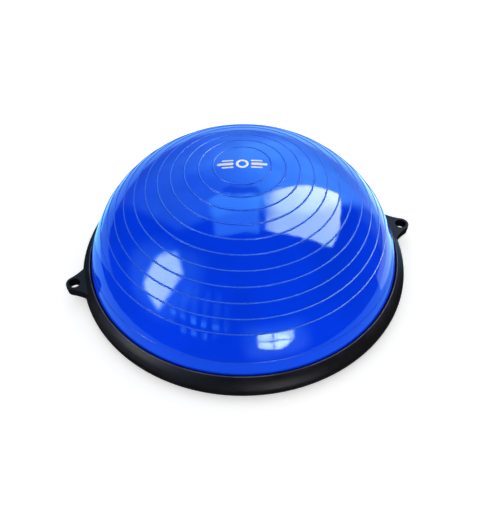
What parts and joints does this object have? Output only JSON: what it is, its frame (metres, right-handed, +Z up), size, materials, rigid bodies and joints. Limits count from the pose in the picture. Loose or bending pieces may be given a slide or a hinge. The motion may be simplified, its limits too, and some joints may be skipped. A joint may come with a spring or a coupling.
{
  "type": "balance dome trainer",
  "caption": "Half-ball balance trainer: inflated ringed vinyl dome on a flat round plastic base with rubber feet and two side lugs for bands.",
  "frame": {"origin": "on the floor under the crown of the dome, at the middle of the base's underside", "axes": "+Z up through the crown, X along the line through the two band lugs"},
  "size_m": [0.66, 0.6, 0.25],
  "materials": {
    "blue_vinyl": "high gloss soft PVC, royal blue",
    "white_stopper": "satin",
    "black_rim": "satin, fine moulded grain",
    "black_platform": "matt, moulded",
    "black_lug": "matt to satin, moulded",
    "screw_steel": "zinc plated",
    "foot_rubber": "matt"
  },
  "bodies": {
    "base": {"platform": "black_platform", "rim_ring": "black_rim", "left_band_lug": "black_lug", "right_band_lug": "black_lug", "rim_screws": "screw_steel", "lug_screws": "screw_steel", "foot_1": "foot_rubber", "foot_2": "foot_rubber", "foot_3": "foot_rubber", "foot_4": "foot_rubber", "foot_5": "foot_rubber", "foot_6": "foot_rubber", "foot_7": "foot_rubber", "foot_8": "foot_rubber", "foot_9": "foot_rubber", "foot_10": "foot_rubber", "foot_11": "foot_rubber", "foot_12": "foot_rubber"},
    "dome": {"bladder": "blue_vinyl"},
    "plug": {"valve_plug": "white_stopper"}
  },
  "joints": [
    {"name": "dome_press", "type": "slide", "parent": "base", "child": "dome", "axis": [0, 0, -1], "range_m": [0, 0.028], "stiffness_N_per_m": 26000, "springref_m": -0.0009, "deforming": ["bladder"]},
    {"name": "plug_pull", "type": "slide", "parent": "base", "child": "plug", "axis": [0, 0, -1], "range_m": [0, 0.024]}
  ]
}
